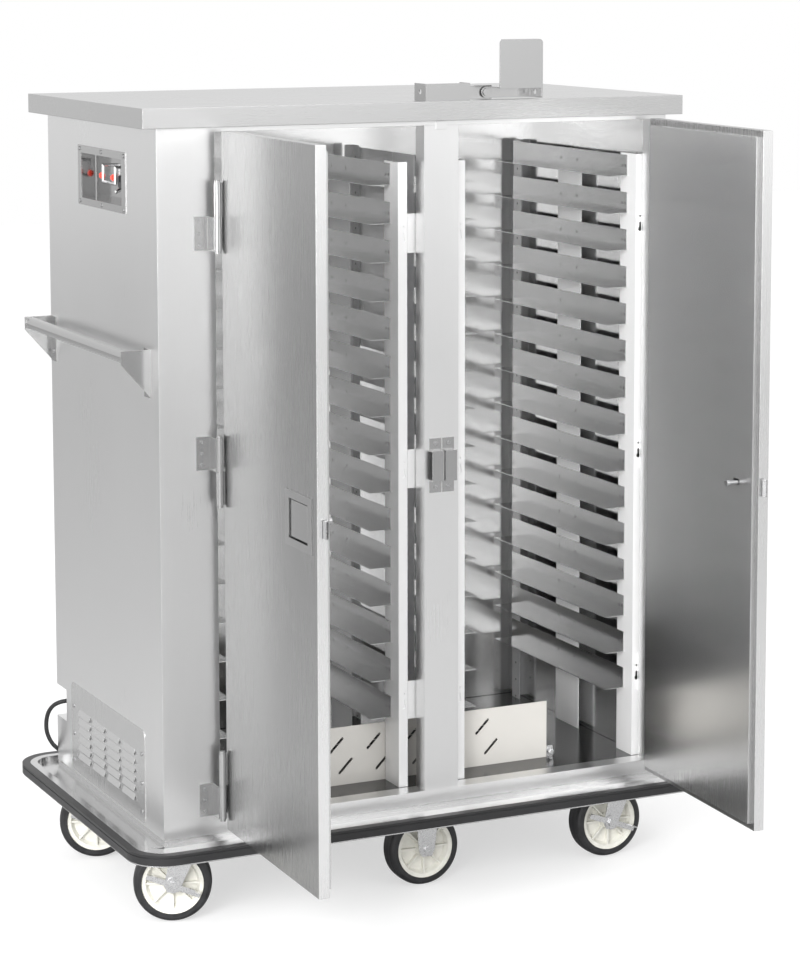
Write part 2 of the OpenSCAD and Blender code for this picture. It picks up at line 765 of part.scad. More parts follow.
paddle_x = pocket_x0 + pocket_w - 6;
paddle_y = pan_y0 + 3.2;

module latch_paddle() {
  z0 = latch_z - pocket_h / 2 + 3;
  z1 = latch_z + pocket_h / 2 - 3;
  slab(pocket_x0 + 3, paddle_x, pan_y0 + 1, pan_y0 + 3.2, z0, z1);
  slab(pocket_x0 + 3, pocket_x0 + 5.2, pan_y0 + 1, pan_y0 + 6, z0, z1);
  bar_z(latch_z - pocket_h / 2 + 0.6, latch_z + pocket_h / 2 - 0.6, paddle_x, paddle_y, 2.8);
  bar_z(latch_z - pocket_h / 2 - 1, latch_z + pocket_h / 2 + 1, paddle_x, paddle_y, 1.5);
}

module latch_bolt() {
  // Bar with a bevelled nose
  difference() {
    slab(release_x - 14, door_x1 + bolt_throw, bolt_y0, bolt_y0 + bolt_t,
      latch_z - bolt_h / 2, latch_z + bolt_h / 2);
    translate([door_x1 + bolt_throw, bolt_y0 + bolt_t - 5.5, latch_z - bolt_h / 2 - 1])
      rotate([0, 0, 40]) cube([20, 20, bolt_h + 2]);
  }
  // Inside release pin, through the liner's slot
  bar_y(bolt_y0 + bolt_t - 1, door_back + 24, release_x, latch_z, 4.2);
  bar_y(door_back + 19, door_back + 26, release_x, latch_z, 6.5);
}

module left_door_pan() { color([0.68, 0.68, 0.67]) left_swing() door_pan(); }
module left_door_liner() { color([0.72, 0.72, 0.71]) left_swing() door_liner(); }
module left_door_hinges() {
  color([0.72, 0.72, 0.72]) left_swing() for (k = [0 : 2]) door_hinge(hinge_zs[k], k == 1);
}
module left_latch_case() { color([0.78, 0.78, 0.77]) left_swing() latch_case(); }
module left_latch_paddle() { color([0.62, 0.62, 0.62]) left_swing() latch_paddle(); }
module left_latch_bolt() { color([0.8, 0.8, 0.8]) left_swing() latch_bolt(); }
module right_door_pan() { color([0.68, 0.68, 0.67]) right_swing() door_pan(); }
module right_door_liner() { color([0.6, 0.6, 0.59]) right_swing() door_liner(); }
module right_door_hinges() {
  color([0.72, 0.72, 0.72]) right_swing() for (k = [0 : 2]) door_hinge(hinge_zs[k], k == 1);
}
module right_latch_case() { color([0.78, 0.78, 0.77]) right_swing() latch_case(); }
module right_latch_paddle() { color([0.62, 0.62, 0.62]) right_swing() latch_paddle(); }
module right_latch_bolt() { color([0.8, 0.8, 0.8]) right_swing() latch_bolt(); }

// ---- strikes and transport lock ----

module strike(xc) {
  x0 = xc - strike_w / 2;
  x1 = xc + strike_w / 2;
  bridge = bolt_y0 - 1.5;
  half = bolt_h / 2 + 12;
  for (s = [-1, 1]) {
    slab(x0, x1, -2.5, 0,
      latch_z + min(s * half, s * strike_h / 2), latch_z + max(s * half, s * strike_h / 2));
    slab(x0, x1, bridge - 2.5, 0,
      latch_z + s * (half + 1.25) - 1.25, latch_z + s * (half + 1.25) + 1.25);
  }
  slab(x0, x1, bridge - 2.5, bridge, latch_z - half - 2.5, latch_z + half + 2.5);
}

module strikes() {
  color([0.82, 0.82, 0.82]) {
    strike(mid_x - strike_w / 2 - 1.5);
    strike(mid_x + strike_w / 2 + 1.5);
  }
}

lock_x = mid_x + 109.6;
lock_zc = roof_z + 13.5;
lock_y = 22;

module lock_bracket() {
  x0 = lock_x - 149.6;
  x1 = lock_x - 53.6;
  y0 = 1 - cap_front;
  z1 = roof_z + 34;
  color([0.8, 0.8, 0.79]) {
    // Front wall at the cap's edge, with an end flange that has the padlock hole
    slab(x0, x1, y0, y0 + 2, roof_z, z1);
    difference() {
      slab(x0, x0 + 2, y0, y0 + 50, roof_z, z1);
      bar_x(x0 - 1, x0 + 3, y0 + 25, roof_z + 18, 5.5);
    }
    // Foot on the cap, and the wall that steps back to the pivot
    slab(x0, x1, y0, y0 + 50, roof_z, roof_z + 1.5);
    slab(x1 - 2, x1, y0, lock_y + 8, roof_z, z1);
    slab(x1 - 2, lock_x + 14, lock_y + 6, lock_y + 8, roof_z, roof_z + 27);
    slab(x1 - 2, lock_x + 14, lock_y + 6, lock_y + 30, roof_z, roof_z + 1.5);
    // Pivot stud with its head and washer
    bar_y(lock_y - 0.4, lock_y + 6, lock_x, lock_zc, 5);
    bar_y(lock_y - 3.4, lock_y - 0.4, lock_x, lock_zc, 8);
    bar_y(lock_y + 2.9, lock_y + 6, lock_x, lock_zc, 8);
  }
}

module lock_arm() {
  x1 = lock_x + 98.4;
  z0 = lock_zc - 11;
  z1 = lock_zc + 11;
  y0 = pan_y0 - 5;
  color([0.8, 0.8, 0.79]) {
    // Bar on the pivot, with a round end
    difference() {
      union() {
        slab(lock_x, x1, lock_y, lock_y + 2.5, z0, z1);
        bar_y(lock_y, lock_y + 2.5, lock_x, lock_zc, 11);
      }
      bar_y(lock_y - 1, lock_y + 4, lock_x, lock_zc, 5.06);
    }
    // End flange with the padlock hole
    difference() {
      slab(x1 - 2.5, x1, y0, lock_y + 2.5, z0, z1);
      bar_x(x1 - 4, x1 + 1, lock_y - 20, lock_zc, 5.5);
    }
    slab(lock_x + 12, x1, y0, lock_y + 2.5, z1 - 2.5, z1);
    // Plate that hangs in front of the doors when the arm is swung over
    difference() {
      slab(lock_x + 4, x1, y0, y0 + 2.5, z1 - 2.5, z1 + 93);
      for (x = [lock_x + 4, x1]) lock_corner(x, z1 + 93, y0, x == x1 ? -1 : 1);
    }
    slab(lock_x + 12, x1 - 8, y0, y0 + 11, z1 + 90.5, z1 + 93);
  }
}

// Material taken off to round one top corner of the plate
module lock_corner(x, z, y0, dir) {
  difference() {
    slab(min(x, x + dir * 8) - 0.01, max(x, x + dir * 8) + 0.01, y0 - 1, y0 + 4, z - 8, z + 1);
    bar_y(y0 - 2, y0 + 5, x + dir * 8, z - 8, 8);
  }
}

// ---- racks and heater ----

// Local frame of a rack: x = 0 on the face that looks at the bay, the bay towards +x
module upright(y, depth, edge_y) {
  slab(-upright_t, 0, y, y + depth, floor_z, rack_top);
  slab(-upright_f, 0, edge_y, edge_y + upright_t, floor_z, rack_top);
}

// Keyhole in the front flange, for the stud that the rack hangs on, with a small hole above it
module keyhole(x, z) {
  y1 = rack_y + upright_t + 1;
  bar_y(rack_y - 1, y1, x, z, 4.5);
  slab(x - 2.5, x + 2.5, rack_y - 1, y1, z, z + 12);
  bar_y(rack_y - 1, y1, x, z + 12, 2.5);
  bar_y(rack_y - 1, y1, x, z + 26, 2.3);
}

module rack_frame() {
  difference() {
    upright(rack_y, upright_d, rack_y);
    for (z = bracket_zs) keyhole(-upright_f * 0.55, z + bracket_h / 3);
  }
  slab(-upright_t, 0, rack_mid_y, rack_mid_y + upright_mid, floor_z, top_level + slide_web);
  upright(rack_y1 - 34, 34, rack_y1 - upright_t);
}

module rack_slides() {
  for (z = [floor_z + first_level : level_pitch : top_level + 1]) {
    slab(0, slide_t, slide_y0, rack_y1, z, z + slide_web);
    slab(0, slide_flange, slide_y0, rack_y1, z, z + slide_t);
  }
}

// The four racks: a left and a right one in each bay
module each_rack() {
  for (c = bay_centers) {
    translate([c - rack_clear / 2, 0, 0]) children();
    translate([c + rack_clear / 2, 0, 0]) mirror([1, 0, 0]) children();
  }
}

module rack_uprights() { color([0.88, 0.88, 0.87]) each_rack() rack_frame(); }
module tray_slides() { color([0.82, 0.82, 0.81]) each_rack() rack_slides(); }

// Plates between the two middle racks, on a spacer behind the mullion, with a tab behind each rack's edge,
// and spacers between the outer racks and the frame's flanges
module rack_brackets() {
  color([0.86, 0.86, 0.85])
    for (z = bracket_zs) {
      x0 = bay_centers[0] + rack_clear / 2;
      x1 = bay_centers[1] - rack_clear / 2;
      slab(x0 + upright_f + 0.5, x1 - upright_f - 0.5, rack_y, rack_y + 3, z, z + bracket_h);
      slab(mullion_x + 10, bay2_x - 10, frame_depth, rack_y + 3, z + 8, z + bracket_h - 8);
      slab(x0 + 4, x1 - 4, rack_y + upright_t, rack_y + 4, z + 4, z + bracket_h - 4);
      slab(bay1_x - 7, bay1_x - 1, frame_depth, rack_y, z, z + bracket_h);
      slab(bay2_end + 1, bay2_end + 6, frame_depth, rack_y, z, z + bracket_h);
    }
}

heater_y0 = 109;
heater_y1 = rack_mid_y - 5;
heater_half = 0.68 * bay_w;
heater_back = heater_h / 2 + 8.5;

// Open above and below, so that the warm air rises through it
module heater_cover() {
  x0 = mid_x - heater_half;
  x1 = mid_x + heater_half;
  color([0.93, 0.92, 0.88])
    difference() {
      slab(x0, x1, heater_y0, heater_y1, floor_z, floor_z + heater_h);
      slab(x0 + 1.5, x1 - 1.5, heater_y0 + 1.5, heater_y1 - 1.5, floor_z - 1, floor_z + heater_h + 1);
      slab(x0 - 1, x1 + 1, heater_y0 + 1.5, heater_y1 + 1, floor_z + heater_back, floor_z + heater_h + 1);
      // Two rows of slanted slots with round ends
      for (x = [x0 + 35 : slot_pitch : x1 - 110])
        for (row = [0, 1])
          translate([x + row * 20, heater_y0, floor_z + heater_h * (row == 0 ? 0.69 : 0.32)])
            rotate([0, -45, 0]) {
              slab(-18, 18, -1, 2.5, -2.8, 2.8);
              for (s = [-18, 18]) bar_y(-1, 2.5, s, 0, 2.8);
            }
    }
}

module heater_element() {
  color([0.2, 0.19, 0.19])
    for (y = [heater_y0 + 31 : 34 : heater_y1 - 20]) {
      bar_x(mid_x - heater_half + 36, mid_x + heater_half - 36, y, floor_z + heater_h / 2, 4);
      for (x = [mid_x - heater_half + 42, mid_x + heater_half - 45])
        slab(x, x + 3, y - 6, y + 6, floor_z, floor_z + heater_h / 2 + 6);
    }
}

// ---- casters ----

// Caster frame: swivel axis at the origin, the wheel trailing towards +x, axle along y
module at_caster(c) {
  translate([c[1], c[2], 0]) rotate([0, 0, c[3]]) children();
}

module fork_legs(dx, top) {
  for (s = [-1, 1])
    translate([0, s > 0 ? leg_in + leg_t : -leg_in, 0])
      rotate([90, 0, 0])
        linear_extrude(height = leg_t)
          polygon([
            [-26, top], [30, top], [dx + 17, wheel_r - 2], [dx + 11, wheel_r - 14],
            [dx - 11, wheel_r - 14], [dx - 17, wheel_r - 2]
          ]);
  bar_y(-leg_in - leg_t - 4, leg_in + leg_t + 4, dx, wheel_r, axle_r);
}

module fork() {
  fork_legs(trail, caster_h - 22);
  difference() {
    union() {
      slab(-26, 30, -leg_in - leg_t, leg_in + leg_t, caster_h - 30, caster_h - 22);
      bar_z(caster_h - 22, caster_h - 10, 0, 0, 26);
    }
    bar_z(caster_h - 31, caster_h - 9, 0, 0, 7.06);
  }
}

module axle_nut(dx, side) {
  translate([dx, side * (leg_in + leg_t + 3.2) - (side > 0 ? 0 : 4), wheel_r])
    rotate([-90, 0, 0]) cylinder(r = 9, h = 4, $fn = 6);
}

module wheel() {
  w = wheel_w / 2;
  color([0.9, 0.9, 0.86])
    translate([0, 0, wheel_r]) rotate([90, 0, 0])
      rotate_extrude($fn = 72)
        polygon([
          [axle_r + pin_fit, -leg_in + 1], [16, -leg_in + 1], [18, -10], [47, -8],
          [52, -w + 3], [60, -w + 2], [60, w - 2], [52, w - 3],
          [47, 8], [18, 10], [16, leg_in - 1], [axle_r + pin_fit, leg_in - 1]
        ]);
  color([0.12, 0.12, 0.13])
    translate([0, 0, wheel_r]) rotate([90, 0, 0])
      rotate_extrude($fn = 72)
        polygon([
          [59.5, -w], [wheel_r - 8, -w], [wheel_r - 3, -w + 3], [wheel_r - 0.6, -w + 9], [wheel_r, 0],
          [wheel_r - 0.6, w - 9], [wheel_r - 3, w - 3], [wheel_r - 8, w], [59.5, w]
        ]);
  // Spokes on both faces
  color([0.9, 0.9, 0.86])
    for (a = [0 : 45 : 315])
      translate([0, 0, wheel_r]) rotate([0, a, 0]) slab(14, 54, -w + 5, w - 5, -2, 2);
}

module wheel_bore_cut() {
  bar_y(-60, 60, 0, wheel_r, axle_r + pin_fit);
}

module brake() {
  y0 = leg_in + leg_t + 0.4;
  difference() {
    union() {
      bar_y(-y0 - 2.5, -y0, 0, wheel_r, 15);
      translate([0, 0, wheel_r]) rotate([0, 21, 0]) {
        slab(-54, 56, -y0 - 2.5, -y0, -5.5, 5.5);
        slab(44, 56, -y0 - 13, -y0, 3.5, 5.5);
        slab(-54, -46, -y0 - 9, -y0, 3.5, 5.5);
      }
    }
    bar_y(-y0 - 4, -y0 + 1, 0, wheel_r, axle_r + pin_fit);
  }
}

module caster_mounts() {
  color([0.75, 0.75, 0.76]) {
    for (c = swivels)
      at_caster(c) {
        rotate([0, 0, -c[3]]) slab(-50, 50, -40, 40, caster_h - 5, caster_h);
        bar_z(caster_h - 9.5, caster_h - 4, 0, 0, 28);
        bar_z(caster_h - 30.6, caster_h - 4, 0, 0, 7);
        bar_z(caster_h - 35, caster_h - 30.4, 0, 0, 11);
      }
    for (y = [caster_front, caster_rear])
      translate([rigid_x, y, 0]) {
        slab(-50, 50, -40, 40, caster_h - 5, caster_h);
        fork_legs(0, caster_h - 4);
      }
  }
}

module swivel_fork(k) {
  color([0.8, 0.8, 0.81]) at_caster(swivels[k]) {
    fork();
    axle_nut(trail, -1);
    axle_nut(trail, 1);
  }
}
module swivel_wheel(k) {
  at_caster(swivels[k]) translate([trail, 0, 0]) difference() {
    wheel();
    wheel_bore_cut();
  }
}
module swivel_brake(k) {
  color([0.78, 0.78, 0.79]) at_caster(swivels[k]) translate([trail, 0, 0]) rotate([0, 0, 180]) brake();
}

module fork_front_left() { swivel_fork(0); }
module fork_front_right() { swivel_fork(1); }
module fork_rear_left() { swivel_fork(2); }
module fork_rear_right() { swivel_fork(3); }
module brake_front_left() { swivel_brake(0); }
module brake_front_right() { swivel_brake(1); }
module brake_rear_left() { swivel_brake(2); }
module brake_rear_right() { swivel_brake(3); }
module wheel_front_left() { swivel_wheel(0); }
module wheel_front_right() { swivel_wheel(1); }
module wheel_rear_left() { swivel_wheel(2); }
module wheel_rear_right() { swivel_wheel(3); }
module rigid_wheel(y) {
  translate([rigid_x, y, 0]) difference() {
    wheel();
    wheel_bore_cut();
  }
}
module wheel_middle_front() { rigid_wheel(caster_front); }
module wheel_middle_rear() { rigid_wheel(caster_rear); }

// ---- power cord ----

module strain_relief() {
  color([0.1, 0.1, 0.1]) {
    translate([notch_x, gland_y, gland_z]) rotate([0, -90, 0]) cylinder(r1 = 9, r2 = 5.4, h = notch_x - 20);
    bar_x(notch_x - 4, notch_x, gland_y, gland_z, 12);
  }
}

module power_cord() {
  color([0.07, 0.07, 0.07]) {
    tube_along(lead_points, [0.3, 1, 0.1], cord_d / 2, 8);
    tube_along(tail_points, [0, 1, 0], cord_d / 2, 8);
  }
}

// The coil winds in on one layer, climbs in half a turn and winds out on the next
coil_steps = 24;
coil_total = 2 * coil_turns + 0.5;
function coil_r(t) =
  t < coil_turns ? coil_out - coil_pitch * t :
  t < coil_turns + 0.5 ? coil_in : coil_in + coil_pitch * (t - coil_turns - 0.5);
function coil_y(t) =
  t < coil_turns ? cord_y1 :
  t < coil_turns + 0.5 ? cord_y1 + (cord_y2 - cord_y1) * (1 - cos(360 * (t - coil_turns))) / 2 : cord_y2;
coil_loop = [for (i = [0 : coil_steps * coil_total])
  let (t = i / coil_steps)
  [coil_x + coil_r(t) * sin(360 * t), coil_y(t), coil_z - coil_r(t) * cos(360 * t)]];
coil_points = concat(
  [[coil_x - cord_d, cord_y1, cord_low]], coil_loop, [[coil_x + cord_d, cord_y2, cord_low]]
);
coil_gap = min([for (i = [0 : 2 : len(coil_loop) - 1]) for (j = [i + 16 : 1 : len(coil_loop) - 1])
  norm(coil_loop[i] - coil_loop[j])]) - cord_d;
echo(least_gap_of_the_coil_to_itself = coil_gap);

module cord_coil() {
  color([0.07, 0.07, 0.07]) tube_along(coil_points, [0, 1, 0], cord_d / 2, 6);
}

module cord_plug() {
  color([0.09, 0.09, 0.09]) {
    translate([plug_x - 26, plug_y, plug_z]) rotate([0, 90, 0]) cylinder(r1 = 5.2, r2 = 9, h = 26);
    bar_x(plug_x, plug_x + 40, plug_y, plug_z, plug_r);
    for (s = [-6, 6])
      slab(plug_x + 39, plug_x + 56, plug_y + s - 0.8, plug_y + s + 0.8, plug_z - 3, plug_z + 3);
    bar_x(plug_x + 39, plug_x + 58, plug_y, plug_z + 8, 2.4);
  }
}

// ---- the whole, moved to its origin ----

translate([-origin_x, -origin_y, 0]) {
  deck_tray();
  bumper();
  side_panel_left();
  side_panel_right();
  back_panel();
  front_frame();
  center_mullion();
  top_cap();
  liner();
  control_box();
  control_bezel();
  knob_guard();
  indicator_lights();
  thermostat_knob();
  power_switch();
  panel_screws();
  handle_tube();
  handle_brackets();
  louvre_panel();
  frame_hinges();
  hinge_rivets();
  strikes();
  lock_bracket();
  lock_arm();
  rack_uprights();
  tray_slides();
  rack_brackets();
  heater_cover();
  heater_element();
  left_door_pan();
  left_door_liner();
  left_door_hinges();
  left_latch_case();
  left_latch_paddle();
  left_latch_bolt();
  right_door_pan();
  right_door_liner();
  right_door_hinges();
  right_latch_case();
  right_latch_paddle();
  right_latch_bolt();
  caster_mounts();
  fork_front_left();
  fork_front_right();
  fork_rear_left();
  fork_rear_right();
  brake_front_left();
  brake_front_right();
  brake_rear_left();
  brake_rear_right();
  wheel_front_left();
  wheel_front_right();
  wheel_rear_left();
  wheel_rear_right();
  wheel_middle_front();
  wheel_middle_rear();
  strain_relief();
  power_cord();
  cord_coil();
  cord_plug();
}
echo(origin = [origin_x, origin_y], cab_z = cab_z, floor_z = floor_z, hinge = [hinge_x, hinge_y]);
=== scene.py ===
import json
import math
import bmesh
import bpy
from mathutils import Matrix, Vector


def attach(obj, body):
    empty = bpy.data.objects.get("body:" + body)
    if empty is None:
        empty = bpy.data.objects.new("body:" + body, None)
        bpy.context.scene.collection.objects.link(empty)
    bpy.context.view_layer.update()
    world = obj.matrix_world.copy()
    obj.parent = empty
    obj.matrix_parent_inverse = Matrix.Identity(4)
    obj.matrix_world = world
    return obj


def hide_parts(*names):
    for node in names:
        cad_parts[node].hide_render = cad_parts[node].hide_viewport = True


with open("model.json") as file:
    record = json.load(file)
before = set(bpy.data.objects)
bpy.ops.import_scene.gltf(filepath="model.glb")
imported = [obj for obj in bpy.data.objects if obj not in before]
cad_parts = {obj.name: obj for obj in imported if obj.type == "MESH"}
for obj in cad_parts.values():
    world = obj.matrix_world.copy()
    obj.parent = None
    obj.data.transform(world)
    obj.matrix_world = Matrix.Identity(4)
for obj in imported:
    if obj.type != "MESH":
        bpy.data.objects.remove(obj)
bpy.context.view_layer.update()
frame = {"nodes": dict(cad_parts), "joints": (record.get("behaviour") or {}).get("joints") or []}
N = frame["nodes"]

# The row frame's origin in the working frame of part.scad, in mm
ORIGIN_X, ORIGIN_Y = 546.0, 91.45214537806316
MM = 1000

# Sizes of the part, in mm, as in part.scad
CAB_D = 626
LEDGE_Z, LIP_Z = 168, 178
DECK_REAR_Y = 647
BAY_FLOOR_Z = 203.5
LEVEL_PITCH = 76.2
TREAD_R = 59.7
LEFT_EDGE_Y, RIGHT_EDGE_Y = -480.0, -478.6
# Where the rear rack posts get round painted shade for their holes
RACK_HOLE_SHADE_YS = (557,)
SLIDE_MARK_YS = (84, 96, 286, 356)


def at(x, y, z):
    """A point of the working frame, in mm, as one of the row frame, in metres."""
    return Vector(((x - ORIGIN_X) / MM, (y - ORIGIN_Y) / MM, z / MM))


def linked(name, data):
    """An object of this data, in the scene."""
    obj = bpy.data.objects.new(name, data)
    bpy.context.scene.collection.objects.link(obj)
    return obj


def mesh_object(name, bm):
    mesh = bpy.data.meshes.new(name)
    bm.to_mesh(mesh)
    bm.free()
    return linked(name, mesh)


def skin(bm, rows, capped=False):
    """Joins each row of points to the next one by a ring of faces."""
    for a, b in zip(rows, rows[1:]):
        for k in range(len(a)):
            after = (k + 1) % len(a)
            bm.faces.new([a[k], a[after], b[after], b[k]])
    if capped:
        bm.faces.new(rows[0][::-1])
        bm.faces.new(rows[-1])


# ---- camera: fitted to the photograph's straight edges ----
PHOTO_H = 975
FOCAL_PX, SHIFT_PX = 2837.985, -190
SENSOR_MM = 36
CLIP_END_M = 60
CAMERA_AT = (-1848.617, -4929.1306, 1844.5657)
YAW, PITCH, ROLL = (math.radians(a) for a in (25.4719, 6.801, -0.0898))


def photo_camera():
    ahead = Vector(
        (math.sin(YAW) * math.cos(PITCH), math.cos(YAW) * math.cos(PITCH), -math.sin(PITCH))
    )
    level_x = Vector((math.cos(YAW), -math.sin(YAW), 0))
    level_y = level_x.cross(ahead)
    x_axis = level_x * math.cos(ROLL) + level_y * math.sin(ROLL)
    y_axis = level_y * math.cos(ROLL) - level_x * math.sin(ROLL)
    data = bpy.data.cameras.new("photo_camera")
    data.lens = FOCAL_PX / PHOTO_H * SENSOR_MM
    data.sensor_width = SENSOR_MM
    data.shift_y = SHIFT_PX / PHOTO_H
    data.clip_end = CLIP_END_M
    cam = linked("photo_camera", data)
    axes = Matrix((x_axis, y_axis, -ahead)).transposed().to_4x4()
    cam.matrix_world = Matrix.Translation(at(*CAMERA_AT)) @ axes
    bpy.context.scene.camera = cam


photo_camera()

# ---- mains cord: one smooth line through the lead, the coil and the tail ----
CORD_D = 9.0
CORD_GAP = 0.3
PLUG_R = 15
COIL_X, COIL_IN, COIL_PITCH, COIL_TURNS = 230.0, 36.0, 9.5, 3.75
COIL_CROSS = 0.5
COIL_STEPS = 48
LEAD_STEPS = 4
EXIT_X, EXIT_Y, EXIT_Z = 20, 600.0, 306.0


def smooth(points, steps):
    """A Catmull-Rom line through the points."""
    out = []
    for i in range(len(points) - 1):
        p0 = points[max(i - 1, 0)]
        p1, p2 = points[i], points[i + 1]
        p3 = points[min(i + 2, len(points) - 1)]
        for k in range(steps):
            t = k / steps
            out.append(
                0.5
                * (
                    2 * p1
                    + (p2 - p0) * t
                    + (2 * p0 - 5 * p1 + 4 * p2 - p3) * t * t
                    + (3 * p1 - p0 - 3 * p2 + p3) * t ** 3
                )
            )
    out.append(points[-1])
    return out


def tube_mesh(name, points, radius):
    """A mesh of a round tube with closed ends along the points."""
    curve = bpy.data.curves.new(name, "CURVE")
    curve.dimensions = "3D"
    spline = curve.splines.new("POLY")
    spline.points.add(len(points) - 1)
    for p, co in zip(spline.points, points):
        p.co = (*co, 1)
    curve.bevel_depth = radius
    curve.bevel_resolution = 3
    curve.use_fill_caps = True
    line = linked(name + "_line", curve)
    tube = line.evaluated_get(bpy.context.evaluated_depsgraph_get())
    mesh = bpy.data.meshes.new_from_object(tube)
    bpy.data.objects.remove(line)
    return mesh


# The coil's two layers, its lowest line on the deck, and the plug beside it
near_y = CAB_D + 5.9
far_y = near_y + 9.5
low = LEDGE_Z + CORD_D / 2 + CORD_GAP
coil_out = COIL_IN + COIL_PITCH * COIL_TURNS
coil_z = low + coil_out
plug_y = CAB_D + CORD_GAP + PLUG_R
plug_z = LIP_Z + math.sqrt((PLUG_R + CORD_GAP) ** 2 - (DECK_REAR_Y - plug_y) ** 2)


def lead_points():
    """From the strain relief down the cabinet's corner and along the deck to the coil."""
    y, z = EXIT_Y, EXIT_Z
    return [
        (EXIT_X, y, z), (11, y + 0.3, z - 0.2), (2.4, y + 3, z - 1.6), (-5, y + 8.4, z - 5),
        (-11.3, y + 15.8, z - 11), (-16, y + 23.2, z - 19.5), (-19.5, 629, z - 30),
        (-21.5, 633, z - 43), (-22, 635, z - 57), (-20.5, 636, z - 71), (-16, 636, z - 85),
        (-9, 635, z - 98), (1, 634, z - 109), (13, 633, z - 118), (27, 632.4, low + 8.7),
        (43, near_y, low + 4.2), (60, near_y, low + 1.5), (78, near_y, low + 0.3),
        *((x, near_y, low) for x in (98, 120, 142, 164, 186, 204, COIL_X - CORD_D)),
    ]


def coil_points():
    """Winds in on the near layer, crosses in half a turn and winds out on the far layer."""
    points = []
    for i in range(int(COIL_STEPS * (2 * COIL_TURNS + COIL_CROSS)) + 1):
        t = i / COIL_STEPS
        if t < COIL_TURNS:
            r, y = coil_out - COIL_PITCH * t, near_y
        elif t < COIL_TURNS + COIL_CROSS:
            crossed = (1 - math.cos(math.pi * (t - COIL_TURNS) / COIL_CROSS)) / 2
            r, y = COIL_IN, near_y + (far_y - near_y) * crossed
        else:
            r, y = COIL_IN + COIL_PITCH * (t - COIL_TURNS - COIL_CROSS), far_y
        turn = 2 * math.pi * t
        points.append((COIL_X + r * math.sin(turn), y, coil_z - r * math.cos(turn)))
    return points


def tail_points():
    """From the coil up to the plug, which lies on the deck's rear lip."""
    return [
        (COIL_X + dx, y, z)
        for dx, y, z in (
            (CORD_D, far_y, low), (20, far_y, low), (34, far_y, low + 2.6), (48, far_y, low + 6),
            (62, far_y, low + 10.4), (76, plug_y, plug_z - 4.6), (88, plug_y, plug_z - 1.2),
            (100, plug_y, plug_z),
        )
    ]


route = (
    smooth([at(*p) for p in lead_points()], LEAD_STEPS)
    + [at(*p) for p in coil_points()]
    + smooth([at(*p) for p in tail_points()], LEAD_STEPS)
)
mains = linked("mains_cord", tube_mesh("mains_cord", route, CORD_D / 2 / MM))
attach(mains, "cabinet")
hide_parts("power_cord", "cord_coil")

# ---- two small pieces of the look alone ----
QUARTER_STEPS = 6
KNURL_STEPS = 36


def cord_tie():
    """The strap with a lock and a cut end that holds the coil together at its top."""
    deep = (far_y - near_y + CORD_D) / 2 + 0.15
    high = (coil_out - COIL_IN + CORD_D) / 2 + 0.3
    mid_y, mid_z = (near_y + far_y) / 2, coil_z + (COIL_IN + coil_out) / 2
    half, thick, corner = 2.4, 0.9, 4.4
    section = (-half, corner), (half, corner), (half, corner + thick), (-half, corner + thick)
    bm = bmesh.new()
    rows = []
    for side_y, side_z, start in ((1, 1, 0), (-1, 1, 90), (-1, -1, 180), (1, -1, 270)):
        y0, z0 = mid_y + side_y * (deep - corner), mid_z + side_z * (high - corner)
        for step in range(QUARTER_STEPS + 1):
            a = math.radians(start + 90 / QUARTER_STEPS * step)
            rows.append([
                bm.verts.new(at(COIL_X + dx, y0 + r * math.cos(a), z0 + r * math.sin(a)))
                for dx, r in section
            ])
    skin(bm, rows + rows[:1])

    def block(y0, y1, z0, z1, wide, cut):
        """A block along y, chamfered at its far end."""
        ends = []
        for y, c in ((y0, 0), (y1 - cut, 0), (y1, cut)):
            x, lo, hi = wide - c, z0 + c, z1 - c
            corners = (-x, lo), (x, lo), (x, hi), (-x, hi)
            ends.append([bm.verts.new(at(COIL_X + dx, y, z)) for dx, z in corners])
        skin(bm, ends, capped=True)

    face_y = mid_y + deep + thick
    block(face_y - 0.3, face_y + 3.6, mid_z - 3, mid_z + 3, 3.6, 0.8)
    block(face_y + 1.2, face_y + 2.2, mid_z + 2.8, mid_z + 11, 2.2, 0.3)
    bmesh.ops.recalc_face_normals(bm, faces=bm.faces)
    return mesh_object("cord_tie", bm)


def cover_screw():
    """The knurled screw and its tab at the heater cover's lower right corner."""
    x0, y0, z0 = 885.8, 108.7, BAY_FLOOR_Z + 0.3
    tab_t = 1.6
    tab = ((0, 0), (13, 0), (15, 2), (15, 20), (13, 23), (0, 23))
    axis_x, axis_z = x0 + 7.5, z0 + 11
    # How far out of the tab each ring is, its radius, and how far its knurls stand out
    shank = (0, 3.2, 0), (2.5, 3.2, 0)
    head = (2.5, 4.6, 0), (3, 5.4, 0.5), (8, 5.4, 0.5), (8.8, 4.4, 0), (8.8, 1.5, 0)
    bm = bmesh.new()
    skin(
        bm,
        [[bm.verts.new(at(x0 + x, y, z0 + z)) for x, z in tab] for y in (y0 + tab_t, y0)],
        capped=True,
    )
    rows = []
    for out, r, knurl in shank + head:
        row = []
        for k in range(KNURL_STEPS):
            a, reach = 2 * math.pi * k / KNURL_STEPS, r + knurl * (k % 2)
            row.append(bm.verts.new(
                at(axis_x + reach * math.cos(a), y0 - out, axis_z + reach * math.sin(a))
            ))
        rows.append(row)
    skin(bm, rows, capped=True)
    bmesh.ops.recalc_face_normals(bm, faces=bm.faces)
    return mesh_object("cover_screw", bm)


tie = cord_tie()
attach(tie, "cabinet")
screw = cover_screw()
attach(screw, "cabinet")


# ---- materials ----
BEVEL_SAMPLES = 4
# The part of a noise's range that is spread between two values
NOISE_LOW, NOISE_HIGH = 0.3, 0.7


